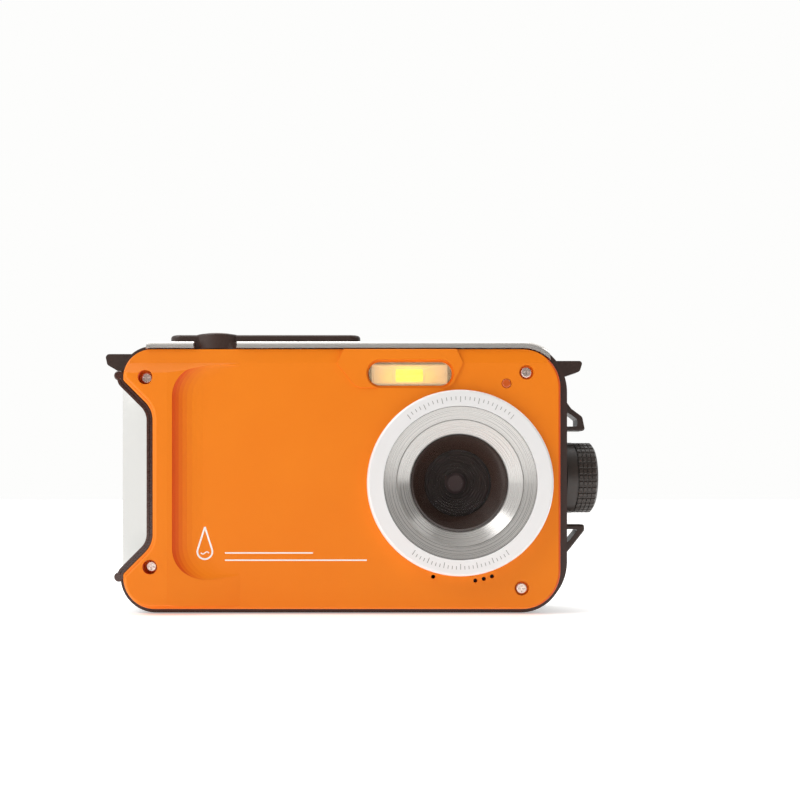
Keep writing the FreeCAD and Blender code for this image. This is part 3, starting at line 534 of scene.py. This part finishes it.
def makeKeyMarks(p):
    def onKey(key, points):
        low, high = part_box(key + "_button")
        return [((low[0] + high[0]) / 2 + u * mm, (low[2] + high[2]) / 2 + v * mm) for u, v in points]

    def printOn(key, loops):
        layPrint(key + "_symbol", loops, key + "_button", "dark_print", key + "_key", side=1)

    for key, points in p["filled"].items():
        printOn(key, [onKey(key, points)])
    for key, strokes in p["lines"].items():
        width = p["lineWide"] * mm
        printOn(key, [loop for ends in strokes for loop in strokeLoops(onKey(key, ends), width)])
    okRing = onKey("ok", arcPoints(0, 0, p["okRing"], 0, 345, 23))
    printOn("ok", strokeLoops(okRing, p["okWide"] * mm, closed=True))


def makeShutterSpring():
    # a copy of the spring as a piece of its own, with its own mesh, in place of the rigid CAD node
    bm = bmesh.new()
    bm.from_mesh(nodes["shutter_spring"].data)
    spring = addPiece("shutter_coil", bm, "screw_steel", "camera")
    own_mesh(spring)
    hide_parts("shutter_spring")


makeShutterSpring()
print("shutter spring made")
makeFrontPrint(frontPrint)
makeRingTicks(ringTicks)
makeKeyMarks(keyMarks)
print("printed marks laid")


studio = {
    "distance": 0.250,        # from the front cover to the eye
    "viewWidth": 0.1878,      # width that the view takes in at the front cover
    "coverY": -0.0112,        # the flat edge of the front cover
    "eyeX": -0.0005,
    "eyeZ": 0.029,
    "middleX": 0.0136,        # what stands in the middle of the view
    "middleZ": 0.0502,
    "sensor": 36.0,
    "floor": "fbfbfa",
    "floorSize": 6,
    "floorGlow": 0.4,
    "floorZ": -0.0002,
    "backdrop": "fdfdfc",
    "dimSide": (0.62, -0.78, 0.0),       # towards the room's dim side
    "roomBright": "ffffff",
    "roomBetween": {0.42: "fcfcfb", 0.62: "cfcdca", 0.8: "6f6c69"},      # share of the way to the dim side
    "roomDim": "4a4846",
    # place, size in metres, power in watts, and the point that the lamp looks at
    "lamps": {
        "keyLight": ((-0.45, -0.3, 0.6), 0.35, 2.1, (0.0, 0.0, 0.03)),
        "edgeLight": ((0.5, -0.1, 0.5), 0.25, 0.5, (0.03, 0.0, 0.03)),
        "topStrip": ((0.0, 0.15, 0.6), 0.4, 1.0, (0.0, 0.0, 0.05)),
    },
}


def makeCamera(s):
    camera = bpy.data.objects.new("studioCamera", bpy.data.cameras.new("studioCamera"))
    bpy.context.scene.collection.objects.link(camera)
    camera.location = (s["eyeX"], s["coverY"] - s["distance"], s["eyeZ"])
    camera.rotation_euler = (math.radians(90), 0, 0)
    camera.data.sensor_width = s["sensor"]
    camera.data.lens = s["sensor"] * s["distance"] / s["viewWidth"]
    camera.data.shift_x = (s["middleX"] - s["eyeX"]) / s["viewWidth"]
    camera.data.shift_y = (s["middleZ"] - s["eyeZ"]) / s["viewWidth"]
    camera.data.clip_start = 0.01
    camera.data.clip_end = 20
    bpy.context.scene.camera = camera


def makeFloor(s):
    bpy.ops.mesh.primitive_plane_add(size=s["floorSize"], location=(0, 0, s["floorZ"]))
    floor = bpy.context.object
    floor.name = "floor"
    paper = startMaterial("pale matte paper", {
        "Roughness": 0.7, "Base Color": toLinear(s["floor"]), "Emission Color": toLinear("ffffff"),
        "Emission Strength": s["floorGlow"],
    })[0]
    floor.data.materials.append(paper)


def makeLamps(s):
    for name, (place, size, power, aim) in s["lamps"].items():
        light = bpy.data.objects.new(name, bpy.data.lights.new(name, "AREA"))
        light.data.size = size
        light.data.energy = power
        light.location = place
        light.rotation_euler = (Vector(aim) - Vector(place)).to_track_quat("-Z", "Y").to_euler()
        bpy.context.scene.collection.objects.link(light)


def makeRoom(s):
    # a pale room with one dim side, so that flat faces keep their colour and hollows their shade
    world = bpy.data.worlds.new("paleRoom")
    bpy.context.scene.world = world
    world.use_nodes = True
    tree = world.node_tree
    direction = tree.nodes.new("ShaderNodeTexCoord").outputs["Generated"]
    away = addNode(tree, "ShaderNodeVectorMath", {"operation": "DOT_PRODUCT", 1: s["dimSide"]},
                   {0: direction})
    share = addNode(tree, "ShaderNodeMapRange", {"From Min": -1.0, "From Max": 1.0},
                    {"Value": away.outputs["Value"]})
    ramp = addNode(tree, "ShaderNodeValToRGB", {}, {"Fac": share.outputs["Result"]})
    ramp.color_ramp.elements[0].color = toLinear(s["roomBright"])
    ramp.color_ramp.elements[1].color = toLinear(s["roomDim"])
    for at, shade in s["roomBetween"].items():
        ramp.color_ramp.elements.new(at).color = toLinear(shade)
    # the dim side only lights the camera: the backdrop itself is pale from every side
    seen = tree.nodes.new("ShaderNodeLightPath").outputs["Is Camera Ray"]
    backdrop = addNode(tree, "ShaderNodeMix", {"data_type": "RGBA", "B": toLinear(s["backdrop"])},
                       {"Factor": seen, "A": ramp.outputs["Color"]})
    tree.links.new(backdrop.outputs["Result"], tree.nodes["Background"].inputs["Color"])
    tree.nodes["Background"].inputs["Strength"].default_value = 1.0
    bpy.context.scene.view_settings.view_transform = "Standard"


makeCamera(studio)
makeFloor(studio)
makeLamps(studio)
makeRoom(studio)
print("studio ready")
